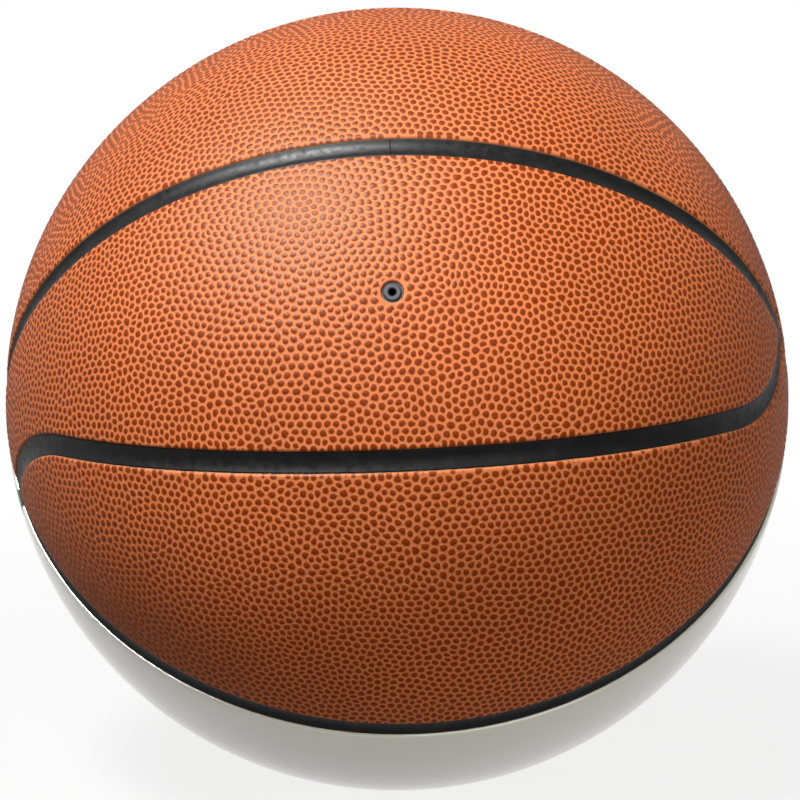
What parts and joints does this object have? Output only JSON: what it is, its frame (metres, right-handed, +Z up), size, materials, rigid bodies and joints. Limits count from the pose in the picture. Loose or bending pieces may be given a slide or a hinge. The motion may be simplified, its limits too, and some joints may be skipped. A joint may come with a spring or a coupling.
{
  "type": "basketball",
  "caption": "Two-tone basketball with pebbled and smooth cover panels, wide black channels, a ribbed carcass, a wound shell, a bladder and a needle valve.",
  "frame": {"origin": "centre of the ball", "axes": "+Z up as in the picture, -Y towards the camera's side, X through the two points where the ring seams cross"},
  "size_m": [0.2382, 0.2384, 0.2384],
  "materials": {
    "orange_cover": "pebbled, satin",
    "cream_cover": "smooth, satin",
    "channel_rubber": "satin black",
    "nylon_yarn": "wound yarn in latex",
    "butyl_rubber": "matt",
    "valve_rubber": "matt",
    "plug_rubber": "matt grey"
  },
  "bodies": {
    "ball": {"panel_front_upper": "orange_cover", "panel_front_lower": "orange_cover", "panel_top_front": "orange_cover", "panel_top_back": "orange_cover", "panel_back_upper": "cream_cover", "panel_back_lower": "cream_cover", "panel_bottom_front": "cream_cover", "panel_bottom_back": "cream_cover", "carcass": "channel_rubber", "yarn_winding": "nylon_yarn", "bladder": "butyl_rubber", "valve_disc": "butyl_rubber", "valve_housing": "valve_rubber"},
    "plug": {"valve_plug": "plug_rubber"}
  },
  "joints": [
    {"name": "plug_pull", "type": "slide", "parent": "ball", "child": "plug", "axis": [-0.0217, -0.9223, 0.3859], "range_m": [0, 0.015]}
  ]
}
